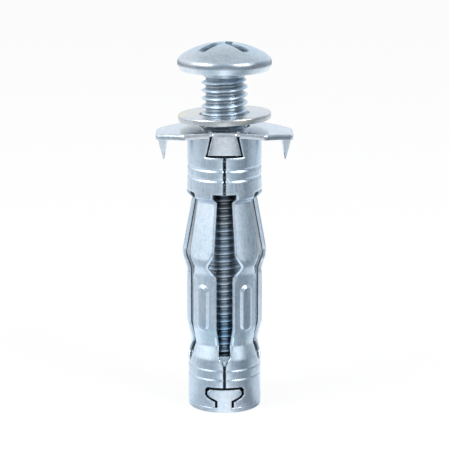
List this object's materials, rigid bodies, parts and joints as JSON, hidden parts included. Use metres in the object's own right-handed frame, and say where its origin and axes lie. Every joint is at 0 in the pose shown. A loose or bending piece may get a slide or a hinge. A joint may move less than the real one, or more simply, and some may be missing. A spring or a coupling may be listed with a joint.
{
  "type": "hollow wall anchor",
  "caption": "Metal hollow wall anchor: mushroom-head screw with a washer, clawed collar plate, sleeve with folding legs and a threaded end nut.",
  "frame": {"origin": "centre of the nut's flat underside, where the anchor stands", "axes": "+Z along the screw's axis towards its head, -Y towards the front, where the seam of the sleeve is, +X along the longer side of the collar plate"},
  "size_m": [0.0176, 0.012, 0.0477],
  "materials": {
    "screw_zinc": "rolled steel, bright blue-white zinc plating",
    "washer_zinc": "stamped steel, zinc plating with a faint warm tint",
    "plate_zinc": "stamped sheet steel, blue-white zinc plating",
    "sleeve_zinc": "rolled and formed sheet steel, blue-white zinc plating",
    "nut_zinc": "pressed steel, blue-white zinc plating"
  },
  "bodies": {
    "anchor": {"collar_plate": "plate_zinc", "sleeve": "sleeve_zinc", "nut": "nut_zinc"},
    "washer": {"washer": "washer_zinc"},
    "screw": {"screw": "screw_zinc"}
  },
  "joints": [
    {"name": "screw_turn", "type": "hinge", "parent": "anchor", "child": "washer", "pos_m": [0, 0, 0.0383], "axis": [0, 0, 1], "range_deg": [-1873, 2161]},
    {"name": "screw_advance", "type": "slide", "parent": "washer", "child": "screw", "axis": [0, 0, 1], "range_m": [-0.0052, 0.006]}
  ],
  "couplings": [
    {"joint": "screw_turn", "follows": "screw_advance", "rad_per_m": 6283.2}
  ]
}
